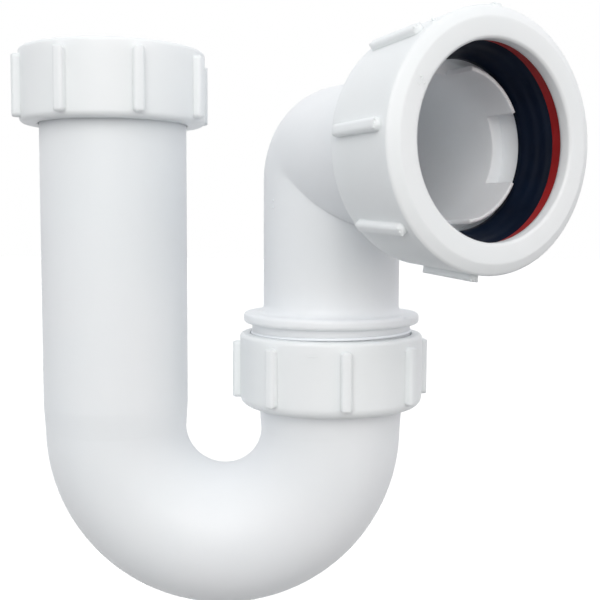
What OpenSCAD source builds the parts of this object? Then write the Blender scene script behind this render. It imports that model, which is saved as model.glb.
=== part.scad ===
// Swivel P-trap for a basin waste.
// A U-shaped water seal in one moulding carries a captive inlet nut on its left leg.
// The right leg takes a swivel elbow, clamped by a union nut over a flat seal.
// The elbow ends in a compression socket: cone seal, slip ring and a ribbed nut.
// The inlet face is at Z = 0, with the inlet leg along the Z axis.

/* [Pipe threads] */
// Outside diameter of the G 1 1/2 thread, measured on the male part
thread_od = 47.8; // [47.4:0.1:48.2]
// Depth of that thread
thread_depth = 1.48; // [1.2:0.02:1.6]
// Depth of the outlet socket's thread
outlet_thread_depth = 1.5; // [1.2:0.02:1.6]

/* [Trap body] */
// Inset of each leg's flange from the outside of the thread
flange_inset = 1.5; // [1.3:0.1:2]
// Height of that flange above the wall of the leg
flange_proud = 1.1; // [0.6:0.1:1.5]
// Thickness of that flange
flange_t = 3; // [2:0.1:4]
// Thickness of the legs' wall
leg_wall = 2.9; // [2:0.1:3.5]
// Thickness of the bend's wall
bend_wall = 2.4; // [1.8:0.1:3.5]
// Distance between the axes of the two legs
leg_spacing = 64.4; // [62:0.2:72]
// Depth of the outlet leg's top face below the inlet face
outlet_leg_drop = 96.8; // [90:0.2:120]
// Height over which each leg narrows to the bend
neck_h = 7.4; // [4:0.2:12]

/* [Inlet nut] */
// Thickness of the inlet nut's wall round its thread
inlet_nut_wall = 2.7; // [2:0.1:4]
// Length of the inlet nut's thread
inlet_thread_l = 12.2; // [10:0.1:18]
// Length between the inlet washer and the end of that thread
thread_relief = 0.2; // [0.2:0.1:1]
// Radius round the inlet nut's lower edge
inlet_nut_foot = 1.6; // [0.8:0.1:2.4]
// Smooth band left below the inlet nut's ribs
inlet_rib_foot = 1.1; // [0.5:0.1:3]
// Turn of the inlet nut's first rib
inlet_nut_turn = 25.5; // [0:0.5:45]
// Thickness of the inlet washer
inlet_washer_t = 2.2; // [1.5:0.1:3]

/* [Union nut] */
// Thickness of the union nut's wall round its thread
union_nut_wall = 3; // [2:0.1:4]
// Length of the union nut's thread
union_nut_thread_l = 14.9; // [12:0.1:18]
// Radius round the union nut's lower edge
union_nut_foot = 3; // [1:0.1:4.5]
// Smooth band left below the union nut's ribs
union_rib_foot = 2.3; // [1:0.1:4]
// Turn of the union nut's first rib
union_nut_turn = 7.5; // [0:0.5:45]
// Thickness of the flat seal in the union
union_seal_t = 2.5; // [1.5:0.1:3]

/* [Nuts and ribs] */
// Thickness of the inward shoulder that carries each captive nut
nut_shoulder_t = 3.4; // [2:0.1:5]
// Radius round each captive nut's open rim
nut_rim_round = 1.1; // [0.5:0.1:1.3]
// Smooth rim left above the captive nuts' ribs
rib_top_gap = 2.2; // [1:0.1:4]
// Number of grip ribs on each nut
rib_count = 8; // [6:1:12]
// Width of each grip rib
rib_w = 3; // [2:0.1:4]
// Height of the captive nuts' ribs above their wall
rib_proud = 2.2; // [1:0.1:2.6]
// Radius along the ribs' outer edges
rib_round = 0.9; // [0.4:0.05:0.95]
// Radius of the ribs' ends
rib_end_round = 1.8; // [0.8:0.1:2]

/* [Swivel elbow] */
// Step from the root of the union thread in to the elbow's tube
elbow_step = 2.32; // [1.5:0.02:3]
// Thickness of the elbow's wall
elbow_wall = 1.9; // [1.5:0.1:3]
// Radius of the elbow's centre line
elbow_bend_r = 6.8; // [5:0.1:12]
// Height of the outlet axis above the collar
elbow_rise = 45.5; // [45:0.1:60]
// Direction of the outlet, turned from the line between the legs
outlet_turn = -58; // [-110:1:110]
// Height of the collar above the outside of the union thread
collar_proud = 2.1; // [1:0.1:4]
// Thickness of the collar
collar_t = 3; // [2.2:0.1:4]
// Radius round the collar's two edges
collar_round = 1; // [0.5:0.1:1.1]
// Radius of the fillet above the collar
collar_fillet = 2.2; // [1:0.1:3]
// Gap left between the collar and the union nut
union_gap = 3.1; // [1:0.1:5]
// Depth of the plain shank under the collar, below the thread's crest
shank_relief = 0.4; // [0.3:0.1:1]
// Reach of that shank into the union nut
shank_reach = 0.4; // [0.2:0.1:1]

/* [Outlet socket] */
// Distance from the elbow's corner to the socket's shoulder
socket_start = 46; // [45:0.1:60]
// Length of the flare from the tube to the socket
socket_flare = 2.6; // [2:0.1:5]
// Wall of the fingers that centre the pipe
finger_wall = 1.2; // [0.8:0.1:1.6]
// Length of the fingers
finger_l = 9.6; // [6:0.1:10]
// Width of each notch between the fingers, as an angle
notch_angle = 56; // [30:1:70]
// Angle from the first notch to the two others
notch_spread = 111; // [100:1:120]
// Room round the fingers for the wall of the waste pipe
pipe_room = 2.4; // [2:0.1:4]
// Length of the pipe seat, from its stop to the mouth cone
pipe_seat_l = 8.2; // [6:0.1:12]
// Length of the mouth cone
mouth_l = 4.8; // [3:0.1:7]
// Slope of the mouth cone against the axis
mouth_slope = 34; // [25:1:40]
// Width of the rim round the mouth, out to the root of the thread
mouth_rim = 0.56; // [0.4:0.02:2]

/* [Outlet seal and slip ring] */
// Width by which the cone seal's throat stands inside the pipe seat
seal_grip = 0.9; // [0.5:0.1:1.5]
// Depth of the cone seal's tail in the pipe seat
seal_tail = 1.6; // [1.3:0.1:3]
// Length of the straight throat in the cone seal
seal_throat_l = 1.2; // [0.6:0.1:1.3]
// Length by which the cone seal stands out of the socket
seal_proud = 2.1; // [1.6:0.1:3]
// Width of the cone seal's rim and of the slip ring
seal_rim_w = 2.5; // [2:0.1:3.5]
// Gap between the slip ring and the thread in the nut
seal_gap = 0.5; // [0.3:0.1:1]
// Thickness of the slip ring
slip_ring_t = 3.2; // [2:0.1:4]

/* [Outlet nut] */
// Thickness of the outlet nut's wall at its open end
outlet_nut_wall = 2.4; // [1.8:0.1:4]
// Growth of the outlet nut's radius towards its front
outlet_nut_flare = 1.7; // [0:0.1:3]
// Length of the nut's skirt behind the lip
outlet_skirt_l = 23.2; // [21:0.1:28]
// Thickness of the front lip
outlet_lip_t = 3.3; // [2.4:0.1:4.5]
// Width by which the front lip covers the slip ring's mouth
lip_cover = 0.7; // [0.3:0.1:1.2]
// Width of the bevel round the front face
outlet_bevel_w = 2.8; // [1:0.1:5]
// Length of that bevel along the axis
outlet_bevel_l = 1.2; // [0.6:0.1:2]
// Height of the outlet nut's ribs above its wall
outlet_rib_proud = 1.8; // [1:0.1:2.6]
// Smooth band behind the outlet nut's ribs
outlet_rib_back = 3.7; // [1.5:0.1:6]
// Smooth band in front of the outlet nut's ribs
outlet_rib_front = 3.8; // [2:0.1:6]
// Turn of the outlet nut's first rib
outlet_nut_turn = 40; // [0:0.5:45]

/* [Clearances] */
// Gap between flat faces that meet
face_gap = 0.1; // [0.05:0.05:0.2]
// Gap between a leg and the nut round it
leg_gap = 0.4; // [0.3:0.05:0.5]
// Gap between the crest of a male thread and the root in its nut
thread_gap = 0.2; // [0.1:0.05:0.3]

/* [Hidden] */
$fn = 96;
cut = 1;
full = 360;
// Bevels and fillets that only break an edge
edge_break = 0.5;
// Width by which an outline that rounds a rib's ends clears its sides
trim = 0.2;

// Radii of the G 1 1/2 thread and of what it passes over
thread_r = thread_od / 2;
male_root_r = thread_r - thread_depth;
nut_thread_r = thread_r + thread_gap;
flange_r = thread_r - flange_inset;
leg_r = flange_r - flange_proud;
bore_r = leg_r - leg_wall;
bend_r = bore_r + bend_wall;
turn_r = leg_spacing / 2;

// Heights of the inlet joint, counted down from the inlet face
inlet_washer_z = -inlet_thread_l - thread_relief - inlet_washer_t;
inlet_flange_z = inlet_washer_z - flange_t;
inlet_nut_h = nut_shoulder_t + face_gap - inlet_flange_z;

// Heights of the union, counted from the outlet leg's top face
outlet_leg_top_z = -outlet_leg_drop;
outlet_flange_z = outlet_leg_top_z - flange_t;
union_nut_h = nut_shoulder_t + face_gap + flange_t + union_nut_thread_l;
union_nut_top_z = outlet_leg_top_z + union_nut_thread_l;
union_foot_z = union_nut_top_z - union_nut_h;
bend_z = union_foot_z - face_gap - neck_h;
elbow_end_z = outlet_leg_top_z + union_seal_t + face_gap;
collar_z = union_nut_top_z + union_gap;
tube_z = collar_z + collar_t;
outlet_z = tube_z + elbow_rise;

elbow_r = male_root_r - elbow_step;
elbow_bore_r = elbow_r - elbow_wall;
collar_r = thread_r + collar_proud;
shank_r = thread_r - shank_relief;

// Radii round the outlet axis, from the elbow's bore outwards
finger_r = elbow_bore_r + finger_wall;
pipe_r = finger_r + pipe_room;
mouth_r = pipe_r + mouth_l * tan(mouth_slope);
outlet_root_r = mouth_r + mouth_rim;
outlet_nut_bore_r = outlet_root_r + outlet_thread_depth + thread_gap;
seal_r = outlet_nut_bore_r - seal_gap;
seal_mouth_r = seal_r - seal_rim_w;
outlet_hole_r = seal_mouth_r - lip_cover;
outlet_nut_r = outlet_nut_bore_r + outlet_nut_wall;
outlet_front_r = outlet_nut_r + outlet_nut_flare;

// Distances along the outlet axis, counted from the elbow's corner
stop_x = socket_start + socket_flare;
finger_end_x = stop_x + finger_l;
cone_x = stop_x + pipe_seat_l;
socket_end_x = cone_x + mouth_l;
seal_back_x = cone_x - seal_tail;
seal_front_x = socket_end_x + seal_proud;
slip_back_x = seal_front_x + face_gap;
slip_front_x = slip_back_x + slip_ring_t;
lip_back_x = slip_front_x + face_gap;
nut_front_x = lip_back_x + outlet_lip_t;
nut_back_x = lip_back_x - outlet_skirt_l;

white = [0.93, 0.94, 0.95];
nut_white = [0.96, 0.97, 0.97];
washer_grey = [0.16, 0.17, 0.18];
seal_navy = [0.05, 0.08, 0.14];
slip_red = [0.62, 0.08, 0.07];

// Half section of a ring whose two outer corners are rounded
module ring_section(r_in, r_out, z0, z1, foot, rim) {
    union() {
        polygon([
            [r_in, z0], [r_out - foot, z0], [r_out, z0 + foot],
            [r_out, z1 - rim], [r_out - rim, z1], [r_in, z1]
        ]);
        translate([r_out - foot, z0 + foot]) circle(foot);
        translate([r_out - rim, z1 - rim]) circle(rim);
    }
}

// Bar with round ends that stands on a wall: X points out of the wall, Z along the bar
module grip_rib(l, proud) {
    reach = proud + cut;
    plan_r = rib_w / 2 + trim;
    intersection() {
        translate([-cut, 0, 0]) linear_extrude(height = l) union() {
            translate([0, -rib_w / 2]) square([reach - rib_round, rib_w]);
            translate([0, rib_round - rib_w / 2]) square([reach, rib_w - 2 * rib_round]);
            translate([reach - rib_round, rib_round - rib_w / 2]) circle(rib_round);
            translate([reach - rib_round, rib_w / 2 - rib_round]) circle(rib_round);
        }
        translate([-2 * cut, rib_w, 0]) rotate([90, 0, 0]) linear_extrude(height = 2 * rib_w)
            ring_section(0, reach + cut + edge_break, 0, l, rib_end_round, rib_end_round);
        translate([-2 * cut, 0, 0]) rotate([90, 0, 90]) linear_extrude(height = reach + 2 * cut) union() {
            translate([-plan_r, plan_r]) square([2 * plan_r, l - 2 * plan_r]);
            translate([0, plan_r]) circle(plan_r);
            translate([0, l - plan_r]) circle(plan_r);
        }
    }
}

// Ribs round a wall that starts at radius r and height z and leans out by an angle
module grip_ribs(r, z, lean, start, l, proud, turn) {
    for (i = [0 : rib_count - 1]) rotate([0, 0, turn + i * full / rib_count])
        translate([r, 0, z]) rotate([0, lean, 0]) translate([0, 0, start]) grip_rib(l, proud);
}

// Nut whose shoulder is at the bottom, with its foot at z = 0
module captive_nut(wall, h, foot, rib_foot, thread_l, turn) {
    r = nut_thread_r + wall;
    difference() {
        union() {
            rotate_extrude() ring_section(leg_r, r, 0, h, foot, nut_rim_round);
            grip_ribs(r, 0, 0, rib_foot, h - rib_foot - rib_top_gap, rib_proud, turn);
        }
        translate([0, 0, -cut]) cylinder(h = h, r = leg_r + leg_gap);
        translate([0, 0, nut_shoulder_t]) cylinder(h = h, r = flange_r + leg_gap);
        translate([0, 0, h - thread_l]) cylinder(h = thread_l + cut, r = nut_thread_r);
    }
}

// One tube of the trap, as a solid of the given radii
module trap_path(straight_r, turned_r, top_in, top_out) {
    neck_z = bend_z + neck_h;
    translate([0, 0, neck_z]) cylinder(h = top_in - neck_z, r = straight_r);
    translate([0, 0, bend_z]) cylinder(h = neck_h, r1 = turned_r, r2 = straight_r);
    translate([leg_spacing, 0, neck_z]) cylinder(h = top_out - neck_z, r = straight_r);
    translate([leg_spacing, 0, bend_z]) cylinder(h = neck_h, r1 = turned_r, r2 = straight_r);
    translate([turn_r, 0, bend_z]) rotate([-90, 0, 0])
        rotate_extrude(angle = 180) translate([turn_r, 0]) circle(turned_r);
}

module leg_flange(z) {
    translate([0, 0, z]) rotate_extrude()
        ring_section(bore_r, flange_r, 0, flange_t, edge_break, edge_break);
}

module u_bend() {
    color(white) difference() {
        union() {
            trap_path(leg_r, bend_r, inlet_washer_z, outlet_leg_top_z);
            leg_flange(inlet_flange_z);
            translate([leg_spacing, 0, 0]) leg_flange(outlet_flange_z);
        }
        trap_path(bore_r, bore_r, inlet_washer_z + cut, outlet_leg_top_z + cut);
    }
}

module inlet_nut() {
    color(nut_white) translate([0, 0, -inlet_nut_h]) captive_nut(
        inlet_nut_wall, inlet_nut_h, inlet_nut_foot, inlet_rib_foot, inlet_thread_l, inlet_nut_turn
    );
}

module inlet_washer() {
    color(washer_grey) translate([0, 0, inlet_washer_z]) difference() {
        cylinder(h = inlet_washer_t, r = flange_r);
        translate([0, 0, -cut]) cylinder(h = inlet_washer_t + 2 * cut, r = bore_r);
    }
}

module union_nut() {
    color(nut_white) translate([leg_spacing, 0, union_foot_z]) captive_nut(
        union_nut_wall, union_nut_h, union_nut_foot, union_rib_foot, union_nut_thread_l, union_nut_turn
    );
}

module union_seal() {
    color(washer_grey) translate([leg_spacing, 0, outlet_leg_top_z]) difference() {
        cylinder(h = union_seal_t, r = male_root_r);
        translate([0, 0, -cut]) cylinder(h = union_seal_t + 2 * cut, r = bore_r);
    }
}

// Solid of the elbow's tube: sharp on the inside of the corner, round on the outside
module elbow_path(r, z0, x1) {
    corner_z = outlet_z - elbow_bend_r;
    translate([0, 0, z0]) cylinder(h = corner_z - z0, r = r);
    translate([elbow_bend_r, 0, outlet_z]) rotate([0, 90, 0]) cylinder(h = x1 - elbow_bend_r, r = r);
    translate([elbow_bend_r, 0, corner_z]) rotate([90, 0, 180]) rotate_extrude(angle = 90)
        intersection() {
            translate([elbow_bend_r, 0]) circle(r);
            translate([0, -2 * r]) square([4 * r, 4 * r]);
        }
}

// Half section of the collar, the shank and the thread's core below it, and the fillet above it
module collar_section() {
    inner_r = elbow_bore_r - cut;
    middle_z = collar_z + collar_t / 2;
    shank_z = union_nut_top_z - shank_reach;
    ring_section(inner_r, collar_r, collar_z, tube_z, collar_round, collar_round);
    translate([inner_r, shank_z]) square([shank_r - inner_r, middle_z - shank_z]);
    translate([inner_r, elbow_end_z]) square([male_root_r - inner_r, middle_z - elbow_end_z]);
    difference() {
        translate([inner_r, middle_z])
            square([elbow_r + collar_fillet - inner_r, tube_z + collar_fillet - middle_z]);
        translate([elbow_r + collar_fillet, tube_z + collar_fillet]) circle(collar_fillet);
    }
}

// Half section of the socket before it is bored
module socket_section() {
    polygon([
        [0, socket_start - cut], [elbow_r - cut, socket_start - cut],
        [outlet_root_r, stop_x], [outlet_root_r, socket_end_x], [0, socket_end_x]
    ]);
}

// Half section of the pipe's seat and the cone in the socket's mouth
module seat_section() {
    cone_out = cut * tan(mouth_slope);
    polygon([
        [0, stop_x], [pipe_r, stop_x], [pipe_r, cone_x],
        [mouth_r + cone_out, socket_end_x + cut], [0, socket_end_x + cut]
    ]);
}

// Fingers that centre the pipe, before the water way is bored through them
module pipe_fingers() {
    side_x = 2 * finger_r * cos(notch_angle / 2);
    side_y = 2 * finger_r * sin(notch_angle / 2);
    difference() {
        rotate_extrude() polygon([
            [0, stop_x - cut], [finger_r, stop_x - cut], [finger_r, finger_end_x - edge_break],
            [finger_r - edge_break, finger_end_x], [0, finger_end_x]
        ]);
        for (a = [0, notch_spread, -notch_spread]) rotate([0, 0, 90 + a])
            translate([0, 0, stop_x - cut / 2]) linear_extrude(height = finger_l + cut)
                polygon([[0, 0], [side_x, -side_y], [side_x, side_y]]);
    }
}

// Moves a shape from the Z axis onto the outlet axis
module on_outlet_axis() {
    translate([leg_spacing, 0, outlet_z]) rotate([0, 0, outlet_turn]) rotate([0, 90, 0]) children();
}

// Moves a shape onto the outlet leg's axis, turned to face the outlet
module on_outlet_leg() {
    translate([leg_spacing, 0, 0]) rotate([0, 0, outlet_turn]) children();
}

module swivel_elbow() {
    color(white) difference() {
        union() {
            difference() {
                union() {
                    on_outlet_leg() elbow_path(elbow_r, collar_z + collar_t / 2, stop_x - cut);
                    on_outlet_leg() rotate_extrude() collar_section();
                    on_outlet_axis() rotate_extrude() socket_section();
                }
                on_outlet_axis() rotate_extrude() seat_section();
            }
            on_outlet_axis() pipe_fingers();
        }
        on_outlet_leg() elbow_path(elbow_bore_r, elbow_end_z - cut, finger_end_x + cut);
    }
}

// Half section of the outlet nut before it is bored: a leaning wall and a bevelled front
module outlet_nut_section(wall_x, bevel_x) {
    polygon([
        [outlet_hole_r, nut_back_x], [outlet_nut_r - nut_rim_round, nut_back_x],
        [outlet_nut_r, wall_x], [outlet_front_r, bevel_x - edge_break],
        [outlet_front_r - edge_break, bevel_x], [outlet_front_r - outlet_bevel_w, nut_front_x],
        [outlet_hole_r + edge_break, nut_front_x], [outlet_hole_r, nut_front_x - edge_break]
    ]);
    translate([outlet_nut_r - nut_rim_round, wall_x]) circle(nut_rim_round);
}

module outlet_nut() {
    wall_x = nut_back_x + nut_rim_round;
    bevel_x = nut_front_x - outlet_bevel_l;
    lean = atan(outlet_nut_flare / (bevel_x - edge_break - wall_x));
    rib_l = nut_front_x - nut_back_x - outlet_rib_back - outlet_rib_front;
    color(nut_white) on_outlet_axis() difference() {
        union() {
            rotate_extrude() outlet_nut_section(wall_x, bevel_x);
            grip_ribs(
                outlet_nut_r, wall_x, lean, outlet_rib_back - nut_rim_round, rib_l,
                outlet_rib_proud, outlet_nut_turn
            );
        }
        translate([0, 0, nut_back_x - cut])
            cylinder(h = lip_back_x - nut_back_x + cut, r = outlet_nut_bore_r);
    }
}

module outlet_slip_ring() {
    color(slip_red) on_outlet_axis() translate([0, 0, slip_back_x]) difference() {
        cylinder(h = slip_ring_t, r = seal_r);
        translate([0, 0, -cut]) cylinder(h = slip_ring_t + 2 * cut, r = seal_mouth_r);
    }
}

module outlet_seal() {
    throat_r = pipe_r - seal_grip;
    tail_r = pipe_r - face_gap;
    cone_r = mouth_r - face_gap / cos(mouth_slope);
    rim_x = socket_end_x + face_gap;
    color(seal_navy) on_outlet_axis() rotate_extrude() polygon([
        [throat_r, seal_back_x], [tail_r, seal_back_x], [tail_r, cone_x],
        [cone_r, socket_end_x], [cone_r, rim_x], [seal_r, rim_x], [seal_r, seal_front_x],
        [seal_mouth_r, seal_front_x], [throat_r, seal_back_x + seal_throat_l]
    ]);
}

u_bend();
inlet_nut();
inlet_washer();
union_nut();
union_seal();
swivel_elbow();
outlet_nut();
outlet_slip_ring();
outlet_seal();
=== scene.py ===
import math
import random

import bmesh
import bpy
from mathutils import Matrix, Vector


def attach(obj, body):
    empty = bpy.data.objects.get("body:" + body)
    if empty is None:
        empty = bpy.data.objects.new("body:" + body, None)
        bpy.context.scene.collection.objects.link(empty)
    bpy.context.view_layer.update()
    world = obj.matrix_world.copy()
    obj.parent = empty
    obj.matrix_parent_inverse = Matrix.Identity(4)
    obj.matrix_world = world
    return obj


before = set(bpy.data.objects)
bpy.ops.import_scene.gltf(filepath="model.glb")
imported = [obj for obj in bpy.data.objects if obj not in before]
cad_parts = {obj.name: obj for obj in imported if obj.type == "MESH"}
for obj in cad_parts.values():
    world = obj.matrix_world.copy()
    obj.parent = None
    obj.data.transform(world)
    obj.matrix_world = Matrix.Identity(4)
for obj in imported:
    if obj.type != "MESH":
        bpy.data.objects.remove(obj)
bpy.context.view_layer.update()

MM = 0.001
FULL_TURN = 360.0

# ---------------------------------------------------------------- sizes, in mm and degrees
# A Z is a height in the frame, and an L a distance from the elbow's corner along the outlet axis
LEG_SPACING = 64.4
OUTLET_Z = -30.3
OUTLET_TURN = -58.0                         # from the line between the legs
THREAD_PITCH = 2.309                        # G 1 1/2, 11 to the inch

MALE_ROOT, MALE_CREST = 22.42, 23.9         # the elbow's union thread
ELBOW_END_Z = -94.2
UNION_THREAD_ROOM = 1.6                     # from the elbow's end to its thread
UNION_THREAD_TOP_Z = -80.75                 # where the union thread runs out
UNION_THREAD_TOP_ANGLE = 20.0

NUT_ROOT, NUT_CREST = 24.1, 22.62           # the inlet nut's thread
INLET_THREAD_L = 12.2                       # length of its wall, down from the inlet face
INLET_THREAD_ROOM, INLET_THREAD_TOP_ROOM = 1.3, 2.2
INLET_THREAD_TURN = 40.0

OUTLET_ROOT, OUTLET_CREST = 25.6, 27.1      # the socket's thread
SOCKET_SHOULDER_L, SOCKET_END_L = 48.6, 61.6
SOCKET_THREAD_ROOM, SOCKET_THREAD_END_ROOM = 1.2, 1.4

OUTLET_NUT_ROOT, OUTLET_NUT_CREST = 27.3, 25.8
OUTLET_NUT_SHALLOW_CREST = 26.9             # clears the cone seal, which has a radius of 26.8
NUT_THREAD_BEHIND = 1.5                     # turns behind the start of the socket's thread
NUT_THREAD_DEEP = 1.3                       # turns
NUT_THREAD_SHALLOW_FROM = 1.4               # turns

ELBOW_R = 20.1
COLLAR_R, COLLAR_TOP_Z = 26.0, -75.8
UNION_NUT_R = 27.1
OUTLET_FRONT_L = 70.4
OUTLET_NUT_R = 31.35
RIB_COUNT, RIB_STEP = 8, 45.0
OUTLET_RIB_TURN = 40.0
OUTLET_RIB_TIP_R, OUTLET_RIB_TIP_L = 32.6, 66.0


def upright(x):
    return Matrix.Translation(Vector((x, 0.0, 0.0)))


INLET_AXIS = upright(0.0)
UNION_AXIS = upright(LEG_SPACING)
OUTLET_AXIS = (Matrix.Translation(Vector((LEG_SPACING, 0.0, OUTLET_Z)))
               @ Matrix.Rotation(math.radians(OUTLET_TURN), 4, "Z")
               @ Matrix.Rotation(math.radians(90), 4, "Y"))


def on_axis(place, radius, angle, along):
    """A point in mm at a radius, an angle in degrees and a length on an axis, with its outward direction."""
    turn = math.radians(angle)
    out = Vector((math.cos(turn), math.sin(turn), 0.0))
    return place @ (radius * out + Vector((0.0, 0.0, along))), (place.to_3x3() @ out).normalized()


# ---------------------------------------------------------------- materials
PLASTIC_IOR = 1.49
GLOW_DEPTH = 2.2                            # mm that light passes inside a wall
MIX_FROM, MIX_TO = 0.3, 0.7                 # range of a noise that is spread over a whole mix
GLOSS_FROM, GLOSS_TO = 0.95, 1.06           # factors on the roughness
GLOSS_SCALE = 2.6                           # factor on the scale of the clouds
BEVEL_SAMPLES = 4
STREAK_SCALE, STREAK_STRETCH, STREAK_STRENGTH = 120.0, 0.12, 0.5
RING_SCALE, RING_WAVER, RING_STRENGTH, RING_HEIGHT = 260.0, 0.6, 0.6, 0.12
GRAIN_STRENGTH = 0.35


def linear(r, g, b):
    """A colour for a shader from its sRGB values of 0 to 255."""
    def one(c):
        c /= 255.0
        return c / 12.92 if c <= 0.04045 else ((c + 0.055) / 1.055) ** 2.4
    return (one(r), one(g), one(b), 1.0)


def noise(nodes, links, vector, scale, detail):
    tex = nodes.new("ShaderNodeTexNoise")
    tex.inputs["Scale"].default_value = scale
    tex.inputs["Detail"].default_value = detail
    links.new(vector, tex.inputs["Vector"])
    return tex.outputs["Fac"]


def bump(nodes, links, height, strength, distance, under):
    """A bump on top of another normal, or on the plain surface where under is None."""
    node = nodes.new("ShaderNodeBump")
    node.inputs["Strength"].default_value = strength
    node.inputs["Distance"].default_value = distance
    links.new(height, node.inputs["Height"])
    if under:
        links.new(under, node.inputs["Normal"])
    return node.outputs["Normal"]


def ramp(nodes, links, value, stops):
    node = nodes.new("ShaderNodeValToRGB")
    first, last = node.color_ramp.elements
    (first.position, first.color), (last.position, last.color) = stops
    links.new(value, node.inputs["Fac"])
    return node.outputs["Color"]


def moulded(name, pale, deep, rough, cloud_scale, grain_scale, grain,
            specular=0.5, streaks=0.0, rings=False, glow=0.0, soft=0.0):
    """Moulded plastic or rubber: cloudy colour, uneven gloss and a fine surface grain, with distances in mm.

    streaks is the height of faint flow lines, and rings adds faint rings about the outlet axis.
    glow is the share of the light that passes a little way through it, and soft is the radius of its edges."""
    mat = bpy.data.materials.new(name)
    mat.use_nodes = True
    nodes, links = mat.node_tree.nodes, mat.node_tree.links
    shader = nodes["Principled BSDF"]
    shader.inputs["IOR"].default_value = PLASTIC_IOR
    shader.inputs["Specular IOR Level"].default_value = specular
    shader.inputs["Subsurface Weight"].default_value = glow
    shader.inputs["Subsurface Radius"].default_value = (1.0, 1.0, 1.0)
    shader.inputs["Subsurface Scale"].default_value = GLOW_DEPTH * MM
    place = nodes.new("ShaderNodeTexCoord").outputs["Object"]

    clouds = noise(nodes, links, place, cloud_scale, detail=3.0)
    colour = ramp(nodes, links, clouds, [(MIX_FROM, deep), (MIX_TO, pale)])
    links.new(colour, shader.inputs["Base Color"])

    gloss = nodes.new("ShaderNodeMapRange")
    gloss.inputs["From Min"].default_value = MIX_FROM
    gloss.inputs["From Max"].default_value = MIX_TO
    gloss.inputs["To Min"].default_value = rough * GLOSS_FROM
    gloss.inputs["To Max"].default_value = rough * GLOSS_TO
    links.new(noise(nodes, links, place, cloud_scale * GLOSS_SCALE, detail=4.0), gloss.inputs["Value"])
    links.new(gloss.outputs["Result"], shader.inputs["Roughness"])

    under = None
    if soft:
        round_off = nodes.new("ShaderNodeBevel")
        round_off.samples = BEVEL_SAMPLES
        round_off.inputs["Radius"].default_value = soft * MM
        under = round_off.outputs["Normal"]
    if streaks:
        stretch = nodes.new("ShaderNodeMapping")
        stretch.inputs["Scale"].default_value = (1.0, 1.0, STREAK_STRETCH)
        links.new(place, stretch.inputs["Vector"])
        flow = noise(nodes, links, stretch.outputs["Vector"], STREAK_SCALE, detail=2.0)
        under = bump(nodes, links, flow, STREAK_STRENGTH, streaks * MM, under)
    if rings:
        turn = nodes.new("ShaderNodeMapping")
        turn.vector_type = "TEXTURE"
        turn.inputs["Location"].default_value = OUTLET_AXIS.to_translation() * MM
        turn.inputs["Rotation"].default_value = OUTLET_AXIS.to_euler()
        links.new(place, turn.inputs["Vector"])
        wave = nodes.new("ShaderNodeTexWave")
        wave.wave_type = "RINGS"
        wave.rings_direction = "Z"
        wave.inputs["Scale"].default_value = RING_SCALE
        wave.inputs["Distortion"].default_value = RING_WAVER
        links.new(turn.outputs["Vector"], wave.inputs["Vector"])
        under = bump(nodes, links, wave.outputs["Fac"], RING_STRENGTH, RING_HEIGHT * MM, under)
    fine = noise(nodes, links, place, grain_scale, detail=2.0)
    links.new(bump(nodes, links, fine, GRAIN_STRENGTH, grain * MM, under), shader.inputs["Normal"])
    return mat


PIPE = {"pale": linear(245, 248, 251), "deep": linear(242, 245, 249),
        "rough": 0.42, "cloud_scale": 22.0, "grain_scale": 900.0, "grain": 0.02}
NUT = {"pale": linear(245, 248, 248), "deep": linear(242, 246, 246),
       "rough": 0.40, "cloud_scale": 22.0, "grain_scale": 1100.0, "grain": 0.015}
white = moulded("white_moulding", **PIPE, streaks=0.05, glow=0.75, soft=0.7)
nut_white = moulded("nut_moulding", **NUT, glow=0.6, soft=0.8)
# The details are too small for a glow or a soft edge, which would darken them
white_detail = moulded("white_detail", **PIPE)
nut_detail = moulded("nut_detail", **NUT)
washer = moulded("washer_rubber", linear(58, 60, 62), linear(42, 44, 46),
                 rough=0.6, cloud_scale=60.0, grain_scale=2400.0, grain=0.04)
navy = moulded("seal_rubber", linear(9, 22, 41), linear(6, 15, 31),
               rough=0.36, cloud_scale=90.0, grain_scale=1500.0, grain=0.02,
               specular=0.12, rings=True, soft=0.4)
red = moulded("slip_ring", linear(170, 32, 33), linear(150, 23, 24),
              rough=0.36, cloud_scale=70.0, grain_scale=1600.0, grain=0.02, specular=0.3)

FINISH = {
    "u_bend": white, "swivel_elbow": white,
    "inlet_nut": nut_white, "union_nut": nut_white, "outlet_nut": nut_white,
    "inlet_washer": washer, "union_seal": washer,
    "outlet_seal": navy, "outlet_slip_ring": red,
}
for node, mat in FINISH.items():
    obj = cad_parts[node]
    if obj.material_slots:
        for slot in obj.material_slots:
            slot.material = mat
    else:
        obj.data.materials.append(mat)

# What the scene's own pieces are made of, the body that each rides on and its slot
ON_ELBOW = (white_detail, "elbow", "white_moulding")
ON_INLET_NUT = (nut_detail, "inlet_nut", "nut_moulding")
ON_UNION_NUT = (nut_detail, "union_nut", "nut_moulding")
ON_OUTLET_NUT = (nut_detail, "outlet_nut", "nut_moulding")


def add_piece(name, bm, mat, body):
    """Turns a mesh made in mm into a piece that rides on a body."""
    bmesh.ops.scale(bm, vec=(MM, MM, MM), verts=bm.verts)
    bmesh.ops.recalc_face_normals(bm, faces=bm.faces)
    mesh = bpy.data.meshes.new(name)
    bm.to_mesh(mesh)
    bm.free()
    mesh.materials.append(mat)
    obj = bpy.data.objects.new(name, mesh)
    bpy.context.scene.collection.objects.link(obj)
    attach(obj, body)


def loft(bm, rows):
    """Skins closed loops of points one after another and caps the two ends."""
    loops = [[bm.verts.new(p) for p in row] for row in rows]
    for a, b in zip(loops, loops[1:]):
        for k in range(len(a)):
            j = (k + 1) % len(a)
            bm.faces.new((a[k], b[k], b[j], a[j])).smooth = True
    bm.faces.new(loops[0])
    bm.faces.new(list(reversed(loops[-1])))


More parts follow.
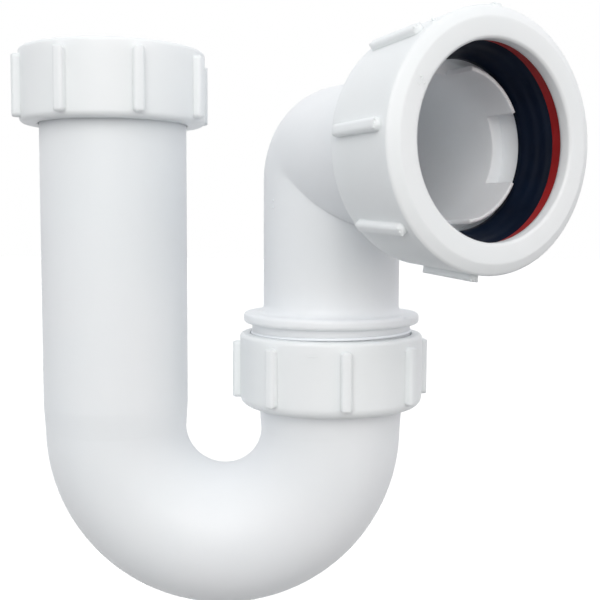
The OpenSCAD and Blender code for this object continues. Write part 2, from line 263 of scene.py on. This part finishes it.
# ---------------------------------------------------------------- threads
# The ridge's section: offsets along the axis in mm, and heights as a share of the thread's depth
THREAD_FORM = [(-0.90, -0.16), (-0.83, 0.02), (-0.60, 0.46), (-0.42, 0.80), (-0.27, 0.95), (-0.10, 1.0),
               (0.10, 1.0), (0.27, 0.95), (0.42, 0.80), (0.60, 0.46), (0.83, 0.02), (0.90, -0.16)]
THREAD_SUNK = 0.16                          # share of its depth by which a faded end lies in the wall
THREAD_STEPS = 120                          # to a turn
THREAD_FADE = 28.0                          # degrees over which each end fades
FADED_WIDTH, WIDTH_GAIN = 0.55, 0.45        # share of its width at a faded end, and what it gains from there


def thread(name, place, root, crest, start, end, turn, mat, body, slot):
    """A right-handed ridge on a wall of radius root, from start to end, with both ends faded into the wall."""
    turns = (end - start) / THREAD_PITCH
    count = int(turns * THREAD_STEPS)
    rows = []
    for i in range(count + 1):
        at = turns * i / count
        share = min(1.0, min(at, turns - at) * FULL_TURN / THREAD_FADE)
        share = share * share * (3 - 2 * share)
        row = []
        for along, up in THREAD_FORM:
            high = up * share - THREAD_SUNK * (1 - share)
            radius = root + (crest - root) * high
            length = start + THREAD_PITCH * at + along * (FADED_WIDTH + WIDTH_GAIN * share)
            row.append(on_axis(place, radius, turn + FULL_TURN * at, length)[0])
        rows.append(row)
    bm = bmesh.new()
    loft(bm, rows)
    add_piece(name, bm, mat, body)


union_thread_start = ELBOW_END_Z + UNION_THREAD_ROOM
thread("union_thread", UNION_AXIS, MALE_ROOT, MALE_CREST, union_thread_start, UNION_THREAD_TOP_Z,
       UNION_THREAD_TOP_ANGLE - FULL_TURN * (UNION_THREAD_TOP_Z - union_thread_start) / THREAD_PITCH,
       *ON_ELBOW)
thread("inlet_nut_thread", INLET_AXIS, NUT_ROOT, NUT_CREST,
       -INLET_THREAD_L + INLET_THREAD_ROOM, -INLET_THREAD_TOP_ROOM, INLET_THREAD_TURN, *ON_INLET_NUT)
outlet_thread_start = SOCKET_SHOULDER_L + SOCKET_THREAD_ROOM
outlet_thread_end = SOCKET_END_L - SOCKET_THREAD_END_ROOM
thread("outlet_thread", OUTLET_AXIS, OUTLET_ROOT, OUTLET_CREST,
       outlet_thread_start, outlet_thread_end, 0.0, *ON_ELBOW)
# The nut's thread is deep behind, and ahead of that shallow enough to pass over the seal as it unscrews
nut_thread_start = outlet_thread_start - NUT_THREAD_BEHIND * THREAD_PITCH
thread("outlet_nut_thread", OUTLET_AXIS, OUTLET_NUT_ROOT, OUTLET_NUT_CREST,
       nut_thread_start, nut_thread_start + NUT_THREAD_DEEP * THREAD_PITCH, 0.0, *ON_OUTLET_NUT)
thread("outlet_nut_inner_thread", OUTLET_AXIS, OUTLET_NUT_ROOT, OUTLET_NUT_SHALLOW_CREST,
       nut_thread_start + NUT_THREAD_SHALLOW_FROM * THREAD_PITCH, outlet_thread_end,
       FULL_TURN * NUT_THREAD_SHALLOW_FROM, *ON_OUTLET_NUT)


# ---------------------------------------------------------------- marks left by the mould
BEAD_SIDES = 10
BEAD_END = 0.02                             # square of the share of its width that a bead's ends keep


def nubs(name, spots, mat, body, slot):
    """Low domes on a wall, each given by its point in mm, outward direction, radius and height."""
    bm = bmesh.new()
    for point, out, radius, height in spots:
        side = out.orthogonal().normalized()
        shape = Matrix((side, out.cross(side), out)).transposed().to_4x4()
        dome = bmesh.ops.create_icosphere(bm, subdivisions=2, radius=1.0)["verts"]
        place = Matrix.Translation(point) @ shape @ Matrix.Diagonal((radius, radius, height, 1.0))
        bmesh.ops.transform(bm, matrix=place, verts=dome)
    for face in bm.faces:
        face.smooth = True
    add_piece(name, bm, mat, body)


def bead(name, path, width, height, mat, body, slot):
    """A low ridge along points in mm with their outward directions, tapered to both ends."""
    rows = []
    for i, (point, out) in enumerate(path):
        ahead = path[min(i + 1, len(path) - 1)][0] - path[max(i - 1, 0)][0]
        side = ahead.cross(out).normalized()
        share = math.sqrt(max(BEAD_END, math.sin(math.pi * i / (len(path) - 1))))
        ring = []
        for k in range(BEAD_SIDES):
            turn = 2 * math.pi * k / BEAD_SIDES
            across, up = 0.5 * width * math.cos(turn), height * math.sin(turn)
            ring.append(point + share * (side * across + out * up))
        rows.append(ring)
    bm = bmesh.new()
    loft(bm, rows)
    add_piece(name, bm, mat, body)


def drawn(least, spread):
    """A number drawn at random between least and least + spread."""
    return least + spread * random.random()


# Two sprue nubs on the back of the riser
SPRUE_ANGLE, SPRUE_ZS = -147.5, (-43.1, -45.0)
SPRUE_R, SPRUE_H = 0.42, 0.22
nubs("riser_sprue_nubs",
     [(*on_axis(UNION_AXIS, ELBOW_R, SPRUE_ANGLE, z), SPRUE_R, SPRUE_H) for z in SPRUE_ZS], *ON_ELBOW)

# A nick of flash on the collar's edge, as a short row of nubs
NICK_COUNT, NICK_ANGLE, NICK_STEP = 3, -38.0, 1.3
NICK_INSET, NICK_DROP = 0.45, 0.35          # from the collar's outside and from its top
NICK_R, NICK_H = 0.35, 0.3
nick = [on_axis(UNION_AXIS, COLLAR_R - NICK_INSET, NICK_ANGLE + NICK_STEP * k, COLLAR_TOP_Z - NICK_DROP)
        for k in range(NICK_COUNT)]
nubs("collar_flash", [(point, out, NICK_R, NICK_H) for point, out in nick], *ON_ELBOW)

# The gate's witness line, a shallow smile under the union nut's rim
GATE_ANGLE, GATE_HALF_ANGLE = -102.5, 4.2
GATE_Z, GATE_RISE = -85.75, 0.28            # its lowest point, and how far its ends stand above that
GATE_W, GATE_H = 0.28, 0.05
GATE_HALF_STEPS = 12
gate_path = []
for i in range(2 * GATE_HALF_STEPS + 1):
    t = i / GATE_HALF_STEPS - 1
    angle, height = GATE_ANGLE + GATE_HALF_ANGLE * t, GATE_Z + GATE_RISE * t * t
    gate_path.append(on_axis(UNION_AXIS, UNION_NUT_R, angle, height))
bead("union_nut_gate_mark", gate_path, GATE_W, GATE_H, *ON_UNION_NUT)

# Flash at the front tips of the outlet nut's ribs, three nubs to a rib, and three lumps between the ribs
FLASH_STEPS, FLASH_STEP = (-1, 0, 1), 1.6
FLASH_R, FLASH_H = (0.28, 0.1), (0.25, 0.25)                        # least and spread
LUMPS = ((211.5, 0.45, 0.7), (13.5, 0.3, 0.3), (19.0, 0.25, 0.25))  # angle, radius and height
random.seed(7)
flash = []
for k in range(RIB_COUNT):
    for step in FLASH_STEPS:
        angle = OUTLET_RIB_TURN + RIB_STEP * k + FLASH_STEP * step
        point, out = on_axis(OUTLET_AXIS, OUTLET_RIB_TIP_R, angle, OUTLET_RIB_TIP_L)
        flash.append((point, out, drawn(*FLASH_R), drawn(*FLASH_H)))
for angle, radius, height in LUMPS:
    flash.append((*on_axis(OUTLET_AXIS, OUTLET_NUT_R, angle, OUTLET_RIB_TIP_L), radius, height))
nubs("outlet_rib_flash", flash, *ON_OUTLET_NUT)

# Rough specks on the outlet nut's face: one at the hole's edge, and a patch of small ones
EDGE_SPECK_AT = (24.4, 149.0, OUTLET_FRONT_L - 0.5)                 # radius, angle and length
EDGE_SPECK_R, EDGE_SPECK_H = 0.30, 0.45
PATCH_COUNT = 8
PATCH_RADII, PATCH_ANGLES = (25.0, 1.9), (238.5, 5.5)               # least and spread
PATCH_R, PATCH_H = (0.14, 0.14), (0.08, 0.08)
front = (OUTLET_AXIS.to_3x3() @ Vector((0.0, 0.0, 1.0))).normalized()
specks = [(on_axis(OUTLET_AXIS, *EDGE_SPECK_AT)[0], front, EDGE_SPECK_R, EDGE_SPECK_H)]
for k in range(PATCH_COUNT):
    point = on_axis(OUTLET_AXIS, drawn(*PATCH_RADII), drawn(*PATCH_ANGLES), OUTLET_FRONT_L)[0]
    specks.append((point, front, drawn(*PATCH_R), drawn(*PATCH_H)))
nubs("outlet_face_specks", specks, *ON_OUTLET_NUT)


# ---------------------------------------------------------------- floor, light and camera
FLOOR_ALBEDO, FLOOR_LIFT = 0.28, 0.90
FLOOR_HALF_SIZE, FLOOR_CELLS = 6.0, 8
FLOOR_AT = (0.03, 0.0, -0.30)
SKY_COLOUR, SKY_STRENGTH = (0.935, 0.955, 1.0, 1.0), 0.83
BACKDROP_COLOUR, BACKDROP_STRENGTH = (1.0, 1.0, 1.0, 1.0), 1.0
LIT_CENTRE = Vector((0.045, -0.01, -0.06))  # what the two lamps point at


def seen_directly(nodes, links):
    """1 for what the camera sees itself, in a gloss or through glass, and 0 for what lights the object."""
    path = nodes.new("ShaderNodeLightPath")
    value = path.outputs["Is Camera Ray"]
    for kind in ("Is Glossy Ray", "Is Transmission Ray"):
        more = nodes.new("ShaderNodeMath")
        more.operation = "MAXIMUM"
        links.new(value, more.inputs[0])
        links.new(path.outputs[kind], more.inputs[1])
        value = more.outputs["Value"]
    return value


def white_for_camera(mat, albedo, lift):
    """A matt floor of the given albedo, lifted to white only where it is seen directly."""
    mat.use_nodes = True
    nodes, links = mat.node_tree.nodes, mat.node_tree.links
    nodes.clear()
    out = nodes.new("ShaderNodeOutputMaterial")
    matt = nodes.new("ShaderNodeBsdfDiffuse")
    matt.inputs["Color"].default_value = (albedo, albedo, albedo, 1.0)
    glow = nodes.new("ShaderNodeEmission")
    times = nodes.new("ShaderNodeMath")
    times.operation = "MULTIPLY"
    times.inputs[1].default_value = lift
    add = nodes.new("ShaderNodeAddShader")
    links.new(seen_directly(nodes, links), times.inputs[0])
    links.new(times.outputs["Value"], glow.inputs["Strength"])
    links.new(matt.outputs["BSDF"], add.inputs[0])
    links.new(glow.outputs["Emission"], add.inputs[1])
    links.new(add.outputs["Shader"], out.inputs["Surface"])


def background(nodes, colour, strength):
    node = nodes.new("ShaderNodeBackground")
    node.inputs["Color"].default_value = colour
    node.inputs["Strength"].default_value = strength
    return node.outputs["Background"]


def area_light(name, offset, size, power, colour):
    """A round lamp at an offset in metres from the lit centre, turned to face it."""
    data = bpy.data.lights.new(name, "AREA")
    data.shape = "DISK"
    data.size = size
    data.energy = power
    data.color = colour
    lamp = bpy.data.objects.new(name, data)
    lamp.location = LIT_CENTRE + Vector(offset)
    lamp.rotation_mode = "QUATERNION"
    lamp.rotation_quaternion = (-Vector(offset)).to_track_quat("-Z", "Y")
    bpy.context.scene.collection.objects.link(lamp)


bm = bmesh.new()
bmesh.ops.create_grid(bm, x_segments=FLOOR_CELLS, y_segments=FLOOR_CELLS, size=FLOOR_HALF_SIZE)
floor_mesh = bpy.data.meshes.new("floor")
bm.to_mesh(floor_mesh)
bm.free()
floor = bpy.data.objects.new("floor", floor_mesh)
floor.location = FLOOR_AT
bpy.context.scene.collection.objects.link(floor)
floor_mat = bpy.data.materials.new("floor")
white_for_camera(floor_mat, FLOOR_ALBEDO, FLOOR_LIFT)
floor_mesh.materials.append(floor_mat)

# A cool sky lights the object, and a plain white backdrop is what the camera sees
world = bpy.data.worlds.new("studio")
bpy.context.scene.world = world
world.use_nodes = True
nodes, links = world.node_tree.nodes, world.node_tree.links
nodes.clear()
out = nodes.new("ShaderNodeOutputWorld")
sky = background(nodes, SKY_COLOUR, SKY_STRENGTH)
backdrop = background(nodes, BACKDROP_COLOUR, BACKDROP_STRENGTH)
mix = nodes.new("ShaderNodeMixShader")
links.new(seen_directly(nodes, links), mix.inputs["Fac"])
links.new(sky, mix.inputs[1])
links.new(backdrop, mix.inputs[2])
links.new(mix.outputs["Shader"], out.inputs["Surface"])

area_light("key", offset=(-0.10, -1.0, 0.45), size=0.9, power=4.7, colour=(1.0, 0.99, 0.95))
area_light("fill", offset=(0.85, -0.75, 0.10), size=0.7, power=1.0, colour=(1.0, 0.85, 0.78))

# Camera solved from the photograph's outlines, with its angles in radians
FOCAL_PX, FRAME_PX, SENSOR_MM = 960.741, 600.0, 36.0
CAMERA_AT = Vector((0.0577188, -0.28573415, -0.04877326))
YAW, PITCH_DOWN, ROLL = -0.00911, 0.08245, 0.0041
CLIP_NEAR, CLIP_FAR = 0.01, 50.0
cam_data = bpy.data.cameras.new("camera")
cam_data.sensor_width = SENSOR_MM
cam_data.lens = FOCAL_PX / FRAME_PX * SENSOR_MM
cam_data.clip_start = CLIP_NEAR
cam_data.clip_end = CLIP_FAR
camera = bpy.data.objects.new("camera", cam_data)
forward = Vector((math.sin(YAW) * math.cos(PITCH_DOWN), math.cos(YAW) * math.cos(PITCH_DOWN),
                  -math.sin(PITCH_DOWN)))
right = Vector((math.cos(YAW), -math.sin(YAW), 0.0))
up = right.cross(forward)
right_rolled = math.cos(ROLL) * right + math.sin(ROLL) * up
up_rolled = -math.sin(ROLL) * right + math.cos(ROLL) * up
facing = Matrix((right_rolled, up_rolled, -forward)).transposed().to_4x4()
camera.matrix_world = Matrix.Translation(CAMERA_AT) @ facing
bpy.context.scene.collection.objects.link(camera)
bpy.context.scene.camera = camera
bpy.context.scene.view_settings.view_transform = "Standard"
